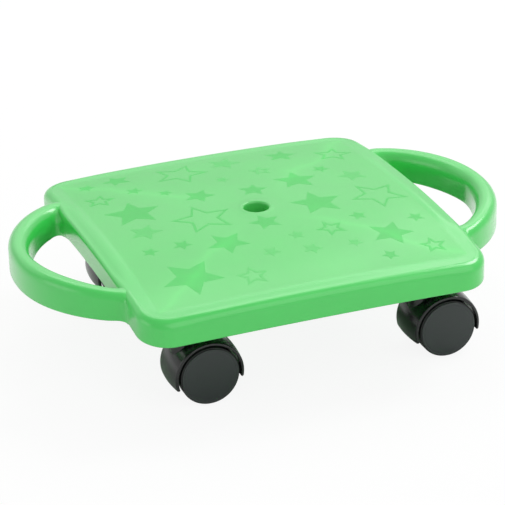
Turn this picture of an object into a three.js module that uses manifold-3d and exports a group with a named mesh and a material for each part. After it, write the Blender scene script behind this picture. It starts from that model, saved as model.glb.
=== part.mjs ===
// Scooter board: a crowned square deck with a loop handle at each side,
// carried by four hooded twin-wheel casters. Millimetres, +Z up, floor at z = 0.
import * as THREE from 'three';
import { mergeVertices } from 'three/addons/utils/BufferGeometryUtils.js';
import Module from 'manifold-3d';

const wasm = await Module();
wasm.setup();

// Clearances
const seatGap = 0.3;        // between faces that seat on each other
const runningGap = 0.4;     // between parts that turn past each other
const overrun = 2;          // how far a cutting tool passes the surface it cuts

// Deck shell
const deckLength = 305;     // along X, between the handles
const deckWidth = 305;      // along Y
const cornerRadius = 27;
const wallHeight = 24.4;    // at a corner
const wall = 4;
const plate = 4;            // the top's thickness
const topRiseAcross = 3.3;  // the crown from corner to middle of the front edge
const topRiseAlong = 9.3;   // and from corner to middle of a handle side
const topRiseCentre = 1.7;
const bottomRiseAcross = 1.8;
const bottomRiseAlong = 10;
const rimRound = 6;
const rimBand = 11;         // the raised border's width
const rimSlope = 2.5;
const fieldDepth = 0.9;     // the field lies this far under the border
const hemRound = 1.4;
const skirtBand = 11;       // the wall's upper band beside a handle opening
const skirtStep = 1.2;      // the skirt under it is set back
const skirtHalf = 82;       // its arch ends inside the handle's roots
const skirtArchRun = 60;
const skirtArchFall = 20.5;
const skirtArchPower = 1.35;
const fieldShares = [0.78, 0.56, 0.34, 0.14];
const hollowShares = [0.33, 0.67, 1];

// Centre hole
const holeRadius = 10.6;
const holeLip = 2.4;
const holeBossRadius = 16;
const holeLipRise = 0.5;

// Ribs under the deck
const ribPairs = 3;         // the outermost pair each way runs through the stem sockets
const ribThickness = 2.2;
const ribInset = 1.5;       // ribs end this far above the wall's bottom edge

// Handles
const handleReach = 63.6;       // outer face, from the deck's wall
const handleHalf = 101.4;       // outer face, along Y at the wall
const gripReach = 46.4;         // inner face
const gripHalf = 79.8;
const rootFillet = 10;          // between the inner face and the deck's wall
const handleReachPower = 1.61;  // how the two plan curves round off
const handleHalfPower = 0.92;
const gripReachPower = 1.38;
const gripHalfPower = 1.17;
const handleHeight = 24.5;
const handleLift = 6;           // handle's underside over the corner's bottom edge
const handleRootDrop = 0.9;
const handleRound = 6;
const handleHem = 1.5;
const handleWall = 3;
const handleRoof = 3.6;
const handleBays = 7;
const handleRibShare = 0.14;
const handleBayTurn = 68;       // degrees of the plan curve's parameter, each way

// Casters: place, stack and wheels
const casterInsetX = 45.6;       // from the deck's walls to a stem
const casterInsetY = 49;
const trail = 17.1;             // from a stem's axis back to its wheels' axle
const wheelRadius = 25.4;
const casterWidth = 44;
const wheelWidth = 10.6;
const wheelHubRadius = 6.8;
const wheelRim = 3.4;
const wheelWeb = 2.2;
const wheelShoulder = 0.8;
const capRadius = 24.6;
const capThickness = 1.5;
const capCrown = 0.5;
const capPlugRadius = 5.2;
const capPlug = 1.6;
const axleRadius = 3;
const axleChamfer = 0.6;

// Casters: hood
const hoodRadius = 31.2;        // outside, at mid width
const hoodEdgeDrop = 1.3;       // smaller by this at its two rims
const hoodShell = 2.6;
const hoodHalf = 20.4;
const hoodShoulder = 2.2;
const hoodLeadDip = 16;         // degrees below the axle at the leading side
const hoodTrailDip = 10;         // and at the trailing side
const hoodNeckRise = 1.2;
const hoodNeckRadius = 9.4;
const hoodWeb = 7;
const hoodHubRadius = 6.4;
const wellFloor = 4;

// Casters: stem and its rings
const stemRadius = 5.5;
const stemUp = 22;
const stemDown = 21.5;
const stemCollar = 1.6;
const stemCollarRadius = 8.8;
const stemTip = 1.2;
const ringWire = 1.5;
const ringGap = 3;              // the opening of a split ring
const gripRingDown = 6;         // from the stem's upper end
const clipUp = 3.4;             // from the stem's lower end
const grooveDepth = 1.1;
const washerThickness = 1.4;
const washerRadius = 9;

// Sockets in the deck
const towerRadius = 12;
const towerDrop = 10.6;         // under the wall's bottom edge at a corner
const socketSpare = 2;
const gussetReach = 16;
const gussetSetback = 1.5;      // the gussets start this far above the socket's mouth

// Levels that follow from the stack of one caster
const neckTop = wheelRadius + hoodRadius + hoodNeckRise;
const washerBottom = neckTop + seatGap;
const collarBottom = washerBottom + washerThickness + seatGap;
const collarTop = collarBottom + stemCollar;
const towerBottom = collarTop + seatGap;
const deckHeight = towerBottom + towerDrop;

const halfLength = deckLength / 2;
const halfWidth = deckWidth / 2;
const casterX = halfLength - casterInsetX;
const casterY = halfWidth - casterInsetY;
const ringGrooveRadius = stemRadius - grooveDepth;
const gripRingRadius = ringGrooveRadius + seatGap + ringWire;
const socketRadius = gripRingRadius + seatGap;
const clipRadius = ringGrooveRadius + seatGap + ringWire;
const wellRadius = stemRadius + runningGap;
const wellGrooveRadius = clipRadius + runningGap;
const axleBore = axleRadius + seatGap;

// Materials
const plastic = (color, roughness) => new THREE.MeshStandardMaterial({ color, roughness, metalness: 0 });
const greenPlastic = plastic(0x8fe08f, 0.35);
const hoodPlastic = plastic(0x101412, 0.2);
const wheelPlastic = plastic(0x1d2220, 0.5);
const capPlastic = plastic(0x39423f, 0.45);
const steel = new THREE.MeshStandardMaterial({ color: 0xb9bcc0, roughness: 0.3, metalness: 1 });

const radians = THREE.MathUtils.degToRad;
const steps = (count, from = 0, to = 1) =>
  Array.from({ length: count + 1 }, (_, i) => from + (to - from) * i / count);

// A closed mesh becomes a solid; one that was wound inwards is turned round.
function solid(geometry) {
  const bare = geometry.clone();
  bare.deleteAttribute('normal');
  bare.deleteAttribute('uv');
  const merged = mergeVertices(bare);
  const p = merged.attributes.position.array;
  const index = Uint32Array.from(merged.index.array);
  let volume = 0;
  for (let i = 0; i < index.length; i += 3) {
    const [a, b, c] = [0, 1, 2].map((k) => new THREE.Vector3().fromArray(p, 3 * index[i + k]));
    volume += a.dot(b.cross(c));
  }
  if (volume < 0) index.reverse();
  return new wasm.Manifold(new wasm.Mesh({ numProp: 3, vertProperties: p, triVerts: index }));
}

function piece(name, shape, material) {
  const { vertProperties, triVerts } = shape.getMesh();
  const geometry = new THREE.BufferGeometry();
  geometry.setAttribute('position', new THREE.BufferAttribute(vertProperties, 3));
  geometry.setIndex(new THREE.BufferAttribute(triVerts, 1));
  geometry.computeVertexNormals();
  const mesh = new THREE.Mesh(geometry, material);
  mesh.name = name;
  return mesh;
}

// A skin over rings of equal count. A ring of one point is a pole;
// any other end ring is closed by a fan from its middle.
function loft(rings) {
  const all = [...rings];
  for (const end of [0, rings.length - 1]) {
    const ring = rings[end];
    if (ring.length === 1) continue;
    const middle = ring.reduce((sum, v) => sum.add(v), new THREE.Vector3()).divideScalar(ring.length);
    if (end === 0) all.unshift([middle]);
    else all.push([middle]);
  }
  const position = [];
  const starts = all.map((ring) => {
    const start = position.length / 3;
    ring.forEach((v) => position.push(v.x, v.y, v.z));
    return start;
  });
  const index = [];
  for (let i = 0; i + 1 < all.length; i++) {
    const [m, n] = [all[i].length, all[i + 1].length];
    for (let j = 0; j < Math.max(m, n); j++) {
      const [a, b] = [starts[i] + j % m, starts[i] + (j + 1) % m];
      const [c, d] = [starts[i + 1] + j % n, starts[i + 1] + (j + 1) % n];
      if (m > 1) index.push(a, b, d);
      if (n > 1) index.push(a, d, c);
    }
  }
  const geometry = new THREE.BufferGeometry();
  geometry.setAttribute('position', new THREE.Float32BufferAttribute(position, 3));
  geometry.setIndex(index);
  return solid(geometry);
}

// A turned solid about Z from a closed profile of [radius, height] points.
function turned(profile, segments) {
  const points = [...profile, profile[0]].map(([r, z]) => new THREE.Vector2(r, z));
  return solid(new THREE.LatheGeometry(points, segments).rotateX(Math.PI / 2));
}

function rod(radius, from, to, segments) {
  return turned([[0, from], [radius, from], [radius, to], [0, to]], segments);
}

function block(x, y, z, cx, cy, cz) {
  return solid(new THREE.BoxGeometry(x, y, z).translate(cx, cy, cz));
}

function extruded(points, depth) {
  const shape = new THREE.Shape(points.map(([x, y]) => new THREE.Vector2(x, y)));
  const geometry = new THREE.ExtrudeGeometry(shape, { depth, bevelEnabled: false });
  return geometry.translate(0, 0, -depth / 2);
}

// Deck: heights of the crowned top and of the wall's bottom edge over its lowest corner
const crown = (x, y, across, along, centre) => {
  const u = 1 - (x / halfLength) ** 2;
  const v = 1 - (y / halfWidth) ** 2;
  return across * u + along * v + centre * u * v;
};
const topAt = (x, y) => wallHeight + crown(x, y, topRiseAcross, topRiseAlong, topRiseCentre);
const bottomAt = (x, y) => crown(x, y, bottomRiseAcross, bottomRiseAlong, 0);

// A rounded square, inset from the deck's wall, with the same count of points on every ring
function outline(inset, share = 1, cornerSteps = 6, sideSteps = 6) {
  const r = Math.max(cornerRadius - inset, rimRound);
  const [cx, cy] = [halfLength - inset - r, halfWidth - inset - r];
  const corners = [[cx, cy], [-cx, cy], [-cx, -cy], [cx, -cy]];
  const points = [];
  corners.forEach(([x, y], k) => {
    for (const t of steps(cornerSteps, k * Math.PI / 2, (k + 1) * Math.PI / 2)) {
      points.push([x + r * Math.cos(t), y + r * Math.sin(t)]);
    }
    const [x0, y0] = points.at(-1);
    const t = (k + 1) * Math.PI / 2;
    const [nx, ny] = corners[(k + 1) % 4];
    const [x1, y1] = [nx + r * Math.cos(t), ny + r * Math.sin(t)];
    for (const s of steps(sideSteps).slice(1, -1)) {
      points.push([x0 + (x1 - x0) * s, y0 + (y1 - y0) * s]);
    }
  });
  return points.map(([x, y]) => [x * share, y * share]);
}

const ringAt = (inset, height, share, ...counts) =>
  outline(inset, share, ...counts).map(([x, y]) => new THREE.Vector3(x, y, height(x, y)));

function deckBody() {
  const field = (x, y) => topAt(x, y) - fieldDepth;
  const rings = [[new THREE.Vector3(0, 0, bottomAt(0, 0))], ringAt(hemRound, bottomAt)];
  rings.push(ringAt(0, (x, y) => bottomAt(x, y) + hemRound));
  for (const t of steps(3, 0, Math.PI / 2)) {
    const drop = rimRound * (1 - Math.sin(t));
    rings.push(ringAt(rimRound * (1 - Math.cos(t)), (x, y) => topAt(x, y) - drop));
  }
  rings.push(ringAt(rimBand, topAt));
  rings.push(ringAt(rimBand + rimSlope, field));
  fieldShares.forEach((share) => rings.push(ringAt(rimBand + rimSlope, field, share)));
  rings.push([new THREE.Vector3(0, 0, field(0, 0))]);
  return loft(rings);
}

// The hollow that leaves the plate and the walls
function deckHollow() {
  const counts = [3, 4];
  const inset = wall + skirtStep;
  const roof = (x, y) => topAt(x, y) - fieldDepth - plate;
  const rings = [[new THREE.Vector3(0, 0, roof(0, 0))]];
  hollowShares.forEach((share) => rings.push(ringAt(inset, roof, share, ...counts)));
  rings.push(ringAt(inset, () => -overrun, 1, ...counts));
  rings.push([new THREE.Vector3(0, 0, -overrun)]);
  return loft(rings);
}

// A rib at one place across the deck, from just over the wall's bottom edge up into the plate
function rib(half, low, high) {
  const runs = steps(6, -half + wall, half - wall);
  const points = [...runs.map((s) => [s, low(s)]), ...runs.reverse().map((s) => [s, high(s)])];
  return extruded(points, ribThickness).rotateX(Math.PI / 2);
}

function ribs() {
  const low = (x, y) => bottomAt(x, y) + ribInset;
  const high = (x, y) => topAt(x, y) - fieldDepth - plate / 2;
  const all = [];
  for (let k = 1; k <= ribPairs; k++) {
    const share = (2 * k - 1) / (2 * ribPairs - 1);
    for (const side of [-share, share]) {
      const [x, y] = [side * casterX, side * casterY];
      const along = rib(halfLength, (s) => low(s, y), (s) => high(s, y));
      const across = rib(halfWidth, (s) => low(x, s), (s) => high(x, s));
      all.push(solid(along.translate(0, y, 0)));
      all.push(solid(across.rotateZ(Math.PI / 2).translate(x, 0, 0)));
    }
  }
  return wasm.Manifold.union(all);
}

// Handle: plan curves of the outer and inner faces, from the front root (-90) to the rear root (90)
function planPoint(turn, reach, half, reachPower, halfPower) {
  const t = radians(turn);
  const x = reach * Math.max(Math.cos(t), 0) ** reachPower;
  const y = half * Math.sign(t) * Math.abs(Math.sin(t)) ** halfPower;
  return new THREE.Vector2(halfLength + x, y);
}
const outerFace = (turn) => planPoint(turn, handleReach, handleHalf, handleReachPower, handleHalfPower);

// The inner face flares into the deck's wall with a fillet
function innerFace(turn) {
  const point = planPoint(turn, gripReach, gripHalf, gripReachPower, gripHalfPower);
  const near = Math.max(rootFillet - (point.x - halfLength), 0);
  const flare = rootFillet - Math.sqrt(rootFillet ** 2 - near ** 2);
  point.y -= Math.sign(turn) * flare;
  return point;
}

// One section across the handle: [distance from the inner face, height] points set in place
function handleSection(turn, sink, profile) {
  const inner = innerFace(turn);
  const outer = outerFace(turn);
  const width = inner.distanceTo(outer);
  const across = outer.clone().sub(inner).divideScalar(width);
  const drop = handleRootDrop * Math.abs(Math.sin(radians(turn))) ** 4;
  return profile(width).map(([d, z]) =>
    new THREE.Vector3(inner.x - sink + across.x * d, inner.y + across.y * d, z > 0 ? z - drop : z));
}

function handleBody() {
  const profile = (width) => {
    const points = [[handleHem, 0], [width - handleHem, 0], [width, handleHem]];
    const r = Math.min(handleRound, width / 2);
    for (const t of steps(3, 0, Math.PI / 2)) {
      points.push([width - r * (1 - Math.cos(t)), handleHeight - r * (1 - Math.sin(t))]);
    }
    for (const t of steps(3, Math.PI / 2, 0)) {
      points.push([r * (1 - Math.cos(t)), handleHeight - r * (1 - Math.sin(t))]);
    }
    points.push([0, handleHem]);
    return points;
  };
  const turns = [...steps(5, -90, -60), ...steps(10, -60, 60).slice(1, -1), ...steps(5, 60, 90)];
  const rings = turns.map((turn) => handleSection(turn, 0, profile));
  rings.unshift(handleSection(-90, rimRound, profile));
  rings.push(handleSection(90, rimRound, profile));
  return loft(rings);
}

// The pockets that core the handle out from below, with a rib between two of them
function handlePockets() {
  const profile = (width) => [
    [handleWall, -overrun], [width - handleWall, -overrun],
    [width - handleWall, handleHeight - handleRoof - handleWall],
    [width - 2 * handleWall, handleHeight - handleRoof],
    [2 * handleWall, handleHeight - handleRoof],
    [handleWall, handleHeight - handleRoof - handleWall],
  ];
  const bay = 2 * handleBayTurn / handleBays;
  return steps(handleBays - 1, 0, handleBays - 1).map((k) => {
    const from = -handleBayTurn + bay * (k + handleRibShare / 2);
    const to = -handleBayTurn + bay * (k + 1 - handleRibShare / 2);
    return loft(steps(2, from, to).map((turn) => handleSection(turn, 0, profile)));
  });
}

// The skirt beside a handle's opening: a shallow cut under the rim, arched down to the handle's roots
function skirtCut() {
  const points = [[-skirtHalf, -overrun], [skirtHalf, -overrun]];
  for (const y of steps(12, skirtHalf, -skirtHalf)) {
    const over = Math.max(Math.abs(y) - (skirtHalf - skirtArchRun), 0);
    const fall = skirtArchFall * (over / skirtArchRun) ** skirtArchPower;
    points.push([y, topAt(halfLength, y) - skirtBand - fall]);
  }
  const geometry = extruded(points, 2 * skirtStep);
  return solid(geometry.rotateX(Math.PI / 2).rotateZ(Math.PI / 2).translate(halfLength, 0, 0));
}

// A socket for a caster's stem, with four gussets up to the ribs
function tower() {
  const roof = topAt(casterX, casterY) - fieldDepth - plate / 2;
  const post = rod(towerRadius, -towerDrop, roof, 20);
  const rise = bottomAt(casterX, casterY) + ribInset + overrun;
  const gusset = extruded([
    [towerRadius / 2, -towerDrop + gussetSetback], [towerRadius, -towerDrop + gussetSetback],
    [gussetReach + towerRadius / 2, rise - overrun / 2], [gussetReach + towerRadius / 2, rise],
    [towerRadius / 2, rise],
  ], ribThickness).rotateX(Math.PI / 2);
  const arms = [0, 1, 2, 3].map((k) => solid(gusset.clone().rotateZ(k * Math.PI / 2)));
  return wasm.Manifold.union([post, ...arms]);
}

const mirroredX = (shape) => shape.mirror([1, 0, 0]);
const corners = [
  ['front_left', -1, -1], ['front_right', 1, -1], ['rear_left', -1, 1], ['rear_right', 1, 1],
];

function deck() {
  const cut = skirtCut();
  let shape = deckBody().subtract(deckHollow()).add(ribs());
  shape = shape.subtract(cut).subtract(mirroredX(cut));
  const pockets = wasm.Manifold.union(handlePockets());
  const handle = handleBody().subtract(pockets).translate([0, 0, handleLift]);
  shape = shape.add(handle).add(mirroredX(handle));
  const field = topAt(0, 0) - fieldDepth;
  const boss = turned([
    [0, bottomAt(0, 0) + ribInset], [holeBossRadius, bottomAt(0, 0) + ribInset],
    [holeBossRadius, field - plate / 2], [holeRadius + holeLip, field - plate / 2],
    [holeRadius + holeLip, field + holeLipRise / 2], [holeRadius + holeLip / 2, field + holeLipRise],
    [0, field + holeLipRise],
  ], 24);
  shape = shape.add(boss);
  for (const [, sx, sy] of corners) {
    shape = shape.add(tower().translate([sx * casterX, sy * casterY, 0]));
  }
  const bore = rod(holeRadius, -overrun, field + holeLipRise + overrun, 24);
  shape = shape.subtract(bore);
  const socket = rod(socketRadius, -towerDrop - overrun, -towerDrop + stemUp + socketSpare, 16);
  for (const [, sx, sy] of corners) {
    shape = shape.subtract(socket.translate([sx * casterX, sy * casterY, 0]));
  }
  return piece('deck', shape, greenPlastic);
}

// Stem: lower shank in the hood's well, collar, upper shank in the deck's socket
function stem(name) {
  const bottom = collarBottom - stemDown;
  const top = collarTop + stemUp;
  const clip = bottom + clipUp;
  const grip = top - gripRingDown;
  const groove = (z) => [
    [stemRadius, z - ringWire / 2 - seatGap], [ringGrooveRadius, z - ringWire / 2 - seatGap],
    [ringGrooveRadius, z + ringWire / 2 + seatGap], [stemRadius, z + ringWire / 2 + seatGap],
  ];
  const profile = [
    [0, bottom], [stemRadius - stemTip, bottom], [stemRadius, bottom + stemTip], ...groove(clip),
    [stemRadius, collarBottom], [stemCollarRadius, collarBottom], [stemCollarRadius, collarTop],
    [stemRadius, collarTop], ...groove(grip), [stemRadius, top - 2 * stemTip],
    [stemRadius - stemTip, top], [0, top],
  ];
  return piece(name, turned(profile, 12), steel);
}

// A split ring of square wire, with its opening towards -Y
function splitRing(name, innerRadius, middle) {
  const [low, high] = [middle - ringWire / 2, middle + ringWire / 2];
  const outer = innerRadius + ringWire;
  const ring = turned([[innerRadius, low], [outer, low], [outer, high], [innerRadius, high]], 12);
  const slot = block(ringGap, outer + overrun, ringWire + overrun, 0, -outer / 2 - overrun / 2, middle);
  return piece(name, ring.subtract(slot), steel);
}

function washer(name) {
  const [low, high] = [washerBottom, washerBottom + washerThickness];
  const bore = stemRadius + runningGap;
  return piece(name, turned([[bore, low], [washerRadius, low], [washerRadius, high], [bore, high]], 16), steel);
}

// Turns a solid made about Z, with its height along the axle, to lie along Y at the axle
const toAxle = (shape) => shape.rotate([-90, 0, 0]).translate([trail, 0, wheelRadius]);

// Hood: an arched shell over both wheels, a web between them, the axle's hub and the stem's well
function hood(name) {
  const edge = hoodRadius - hoodEdgeDrop;
  const inside = edge - hoodShell;
  const shoulder = steps(2).map((s) => [hoodHalf - hoodShoulder * s, edge - hoodShoulder * (1 - s) ** 2]);
  const section = [[-hoodHalf, inside], [hoodHalf, inside], ...shoulder, [0, hoodRadius]];
  section.push(...shoulder.reverse().map(([y, r]) => [-y, r]));
  const ring = (turn) => section.map(([y, r]) =>
    new THREE.Vector3(trail + r * Math.cos(turn), y, wheelRadius + r * Math.sin(turn)));
  const shell = loft(steps(15, -radians(hoodTrailDip), Math.PI + radians(hoodLeadDip)).map(ring));
  const sector = [[0, 0]];
  for (const t of steps(6, Math.PI / 6, Math.PI + radians(hoodLeadDip) / 2)) {
    sector.push([(inside + hoodShell / 2) * Math.cos(t), (inside + hoodShell / 2) * Math.sin(t)]);
  }
  const web = solid(extruded(sector, hoodWeb).rotateX(Math.PI / 2).translate(trail, 0, wheelRadius));
  const hubHalf = casterWidth / 2 - capThickness - wheelWidth - seatGap - runningGap;
  const hub = toAxle(rod(hoodHubRadius, -hubHalf, hubHalf, 16));
  const wellBottom = collarBottom - stemDown - seatGap;
  const boss = rod(hoodNeckRadius, wellBottom - wellFloor, neckTop, 20);
  const clip = collarBottom - stemDown + clipUp;
  const grooveLow = clip - ringWire / 2 - runningGap;
  const grooveHigh = clip + ringWire / 2 + runningGap;
  const well = turned([
    [0, wellBottom], [wellRadius, wellBottom], [wellRadius, grooveLow], [wellGrooveRadius, grooveLow],
    [wellGrooveRadius, grooveHigh], [wellRadius, grooveHigh], [wellRadius, neckTop + overrun],
    [0, neckTop + overrun],
  ], 12);
  const axleHole = toAxle(rod(axleBore, -hubHalf - overrun, hubHalf + overrun, 12));
  const body = wasm.Manifold.union([shell, web, hub, boss]).subtract(well).subtract(axleHole);
  return piece(name, body, hoodPlastic);
}

// Wheel and cap are drawn outwards from the caster's middle plane
const capInside = casterWidth / 2 - capThickness;
const wheelOutside = capInside - seatGap;
const wheelInside = wheelOutside - wheelWidth;
const axleHalf = capInside - capPlug - seatGap;

function axle(name) {
  const end = axleRadius - axleChamfer;
  const profile = [
    [0, -axleHalf], [end, -axleHalf], [axleRadius, -axleHalf + axleChamfer],
    [axleRadius, axleHalf - axleChamfer], [end, axleHalf], [0, axleHalf],
  ];
  return piece(name, toAxle(turned(profile, 12)), steel);
}

function wheel(name, side) {
  const plug = capPlugRadius + seatGap;
  const plugFloor = capInside - capPlug - seatGap;
  const profile = [
    [axleBore, wheelInside], [wheelHubRadius, wheelInside], [wheelHubRadius, wheelOutside - wheelWeb],
    [wheelRadius - wheelRim, wheelOutside - wheelWeb], [wheelRadius - wheelRim, wheelInside],
    [wheelRadius - wheelShoulder, wheelInside], [wheelRadius, wheelInside + wheelShoulder],
    [wheelRadius, wheelOutside - wheelShoulder], [wheelRadius - wheelShoulder, wheelOutside],
    [plug, wheelOutside], [plug, plugFloor], [axleBore, plugFloor],
  ];
  const shape = turned(profile, 24).scale([1, 1, side]);
  return piece(name, toAxle(shape), wheelPlastic);
}

function cap(name, side) {
  const profile = [
    [0, capInside - capPlug], [capPlugRadius, capInside - capPlug], [capPlugRadius, capInside],
    [capRadius, capInside], [capRadius, casterWidth / 2 - capCrown], [capRadius / 2, casterWidth / 2],
    [0, casterWidth / 2],
  ];
  const shape = turned(profile, 24).scale([1, 1, side]);
  return piece(name, toAxle(shape), capPlastic);
}

function caster(corner, sx, sy) {
  const group = new THREE.Group();
  group.position.set(sx * casterX, sy * casterY, 0);
  group.add(stem(`${corner}_stem`));
  group.add(splitRing(`${corner}_grip_ring`, ringGrooveRadius + seatGap, collarTop + stemUp - gripRingDown));
  group.add(splitRing(`${corner}_stem_clip`, ringGrooveRadius + seatGap, collarBottom - stemDown + clipUp));
  group.add(washer(`${corner}_thrust_washer`));
  group.add(hood(`${corner}_hood`));
  group.add(axle(`${corner}_axle`));
  for (const [place, side] of [['outer', sy], ['inner', -sy]]) {
    group.add(wheel(`${corner}_${place}_wheel`, side));
    group.add(cap(`${corner}_${place}_wheel_cap`, side));
  }
  return group;
}

const board = new THREE.Group();
const top = new THREE.Group();
top.position.z = deckHeight;
top.add(deck());
board.add(top);
for (const [corner, sx, sy] of corners) board.add(caster(corner, sx, sy));

export default board;
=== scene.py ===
from math import acos, copysign, cos, hypot, pi, radians, sin, sqrt

import bmesh
import bpy
from mathutils import Matrix, Vector


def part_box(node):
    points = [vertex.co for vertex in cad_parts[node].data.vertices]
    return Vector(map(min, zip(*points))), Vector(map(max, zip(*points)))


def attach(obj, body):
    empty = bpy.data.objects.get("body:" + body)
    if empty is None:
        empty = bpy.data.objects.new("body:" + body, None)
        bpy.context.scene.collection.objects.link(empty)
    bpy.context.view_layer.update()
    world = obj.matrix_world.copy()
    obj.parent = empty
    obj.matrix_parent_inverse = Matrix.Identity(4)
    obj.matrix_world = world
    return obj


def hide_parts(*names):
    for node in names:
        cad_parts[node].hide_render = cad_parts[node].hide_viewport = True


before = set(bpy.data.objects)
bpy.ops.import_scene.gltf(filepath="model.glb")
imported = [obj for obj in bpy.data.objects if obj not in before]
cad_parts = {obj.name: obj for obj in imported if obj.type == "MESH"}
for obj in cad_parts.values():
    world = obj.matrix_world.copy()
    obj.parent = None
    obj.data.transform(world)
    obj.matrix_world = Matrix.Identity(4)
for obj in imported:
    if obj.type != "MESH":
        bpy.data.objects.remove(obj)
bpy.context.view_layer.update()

mm = 0.001  # meshes are drawn in millimetres and shrunk to metres at the end
weld = 1e-4  # millimetres; vertices nearer than this become one
sharpAngle = 38  # degrees
collection = bpy.context.scene.collection
cornerSides = {"front_left": (-1, -1), "front_right": (1, -1), "rear_left": (-1, 1), "rear_right": (1, 1)}


def report(text):
    print("scooter board:", text)


def boxOf(node):
    low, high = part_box(node)
    return low / mm, high / mm


def middleOf(node):
    low, high = boxOf(node)
    return (low + high) / 2


def sizeOf(node):
    low, high = boxOf(node)
    return high - low


def arc(count, start=0.0, end=1.0):
    return [start + (end - start) * i / count for i in range(count + 1)]


def rounded(x, y, dx, dy, steps):
    # points round the corner at x, y: the first is dy off along y, and the last is dx off along x
    return [(x + dx * (1 - cos(t)), y + dy * (1 - sin(t))) for t in arc(steps, 0, pi / 2)]


def blend(a, b, share):
    return a + (b - a) * share


def smooth(value, start, end):
    t = min(max((value - start) / (end - start), 0.0), 1.0)
    return t * t * (3 - 2 * t)


# Camera and light

camera = {
    "place": (-0.621946, -1.634037, 0.883721),  # metres
    "yaw": -20.7083,
    "pitch": 25.0409,
    "roll": -1.2168,
    "lens": 158.8,
    "sensor": 36,
    "clipEnd": 100,
}

stage = {
    "floorSize": 12,           # metres
    "floorColour": (0.9, 0.9, 0.9, 1),
    "floorClear": 0.9,         # how much of the floor's own shading the camera doesn't see
    "nearFloor": 0.35,         # metres; nearer than this, gloss reflects the floor with the board's shadow
    "worldLight": 0.5,         # on matt surfaces
    "worldSeen": 0.7,          # in gloss
    "worldBehind": 1.0,        # straight behind the floor's far edge
    "lampDistance": 2.5,       # metres
    "softboxes": {
        # name: (direction from the board, width, height, watts)
        "backSoftbox": ((0.08, 0.5, 0.86), 1.7, 1.3, 12.5),
        "backPanel": ((-0.15, 0.79, 0.6), 3.8, 1.3, 8),
        "backRightSoftbox": ((0.58, 0.58, 0.57), 1.0, 1.0, 4),
        "rightSoftbox": ((0.65, 0.15, 0.74), 0.85, 0.85, 19),
        "frontSoftbox": ((0.3, -0.75, 0.59), 3.2, 2.2, 20),
        "leftSoftbox": ((-0.96, 0.0, 0.28), 1.4, 1.2, 5.5),
    },
}


def buildCamera():
    lensData = bpy.data.cameras.new("boardCamera")
    lensData.lens = camera["lens"]
    lensData.sensor_width = camera["sensor"]
    lensData.clip_end = camera["clipEnd"]
    holder = bpy.data.objects.new("boardCamera", lensData)
    collection.objects.link(holder)
    turn = Matrix.Rotation(radians(camera["yaw"]), 4, "Z")
    turn = turn @ Matrix.Rotation(pi / 2 - radians(camera["pitch"]), 4, "X")
    turn = turn @ Matrix.Rotation(radians(camera["roll"]), 4, "Z")
    holder.matrix_world = Matrix.Translation(camera["place"]) @ turn
    bpy.context.scene.camera = holder


def cleanTree(owner):
    owner.use_nodes = True
    owner.node_tree.nodes.clear()
    return owner.node_tree


def addNode(tree, kind, inputs=None, **settings):
    # each input is given a value, or another node's output
    node = tree.nodes.new(kind)
    for name, value in settings.items():
        setattr(node, name, value)
    for key, value in (inputs or {}).items():
        if isinstance(value, bpy.types.NodeSocket):
            tree.links.new(value, node.inputs[key])
        else:
            node.inputs[key].default_value = value
    return node


def mathNode(tree, operation, first, second=0.0):
    return addNode(tree, "ShaderNodeMath", {0: first, 1: second}, operation=operation).outputs[0]


def seenByEye(tree, reach=0.0):
    # 1 for rays from the camera, and for those that gloss or glass sends further than reach
    path = addNode(tree, "ShaderNodeLightPath").outputs
    sentOn = mathNode(tree, "MAXIMUM", path["Is Glossy Ray"], path["Is Transmission Ray"])
    sentFar = mathNode(tree, "MULTIPLY", sentOn, mathNode(tree, "GREATER_THAN", path["Ray Length"], reach))
    return mathNode(tree, "MAXIMUM", path["Is Camera Ray"], sentFar)


def mixOut(tree, share, plain, seen, outKind):
    # the second shader takes over from the first as share goes from 0 to 1
    mixed = addNode(tree, "ShaderNodeMixShader", {"Fac": share, 1: plain.outputs[0], 2: seen.outputs[0]})
    addNode(tree, outKind, {"Surface": mixed.outputs[0]})


def buildStage():
    world = bpy.data.worlds.new("whiteStudio")
    bpy.context.scene.world = world
    tree = cleanTree(world)
    toEye = addNode(tree, "ShaderNodeLightPath").outputs["Is Camera Ray"]
    brighter = mathNode(tree, "MULTIPLY", toEye, stage["worldBehind"] - stage["worldSeen"])
    strength = mathNode(tree, "ADD", brighter, stage["worldSeen"])
    white = (1, 1, 1, 1)
    lit = addNode(tree, "ShaderNodeBackground", {"Color": white, "Strength": stage["worldLight"]})
    seen = addNode(tree, "ShaderNodeBackground", {"Color": white, "Strength": strength})
    mixOut(tree, seenByEye(tree), lit, seen, "ShaderNodeOutputWorld")

    paint = bpy.data.materials.new("paleFloor")
    tree = cleanTree(paint)
    matt = addNode(tree, "ShaderNodeBsdfDiffuse", {"Color": stage["floorColour"]})
    bright = addNode(tree, "ShaderNodeEmission")
    clear = mathNode(tree, "MULTIPLY", seenByEye(tree, stage["nearFloor"]), stage["floorClear"])
    mixOut(tree, clear, matt, bright, "ShaderNodeOutputMaterial")

    bm = bmesh.new()
    bmesh.ops.create_grid(bm, x_segments=1, y_segments=1, size=stage["floorSize"] / 2)
    mesh = bpy.data.meshes.new("studioFloor")
    bm.to_mesh(mesh)
    bm.free()
    mesh.materials.append(paint)
    floor = bpy.data.objects.new("studioFloor", mesh)
    collection.objects.link(floor)

    for name, (direction, width, height, watts) in stage["softboxes"].items():
        lamp = bpy.data.lights.new(name, "AREA")
        lamp.shape = "RECTANGLE"
        lamp.size = width
        lamp.size_y = height
        lamp.energy = watts
        box = bpy.data.objects.new(name, lamp)
        collection.objects.link(box)
        away = Vector(direction).normalized()
        aim = away.to_track_quat("Z", "Y").to_matrix().to_4x4()
        box.matrix_world = Matrix.Translation(away * stage["lampDistance"]) @ aim


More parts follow.
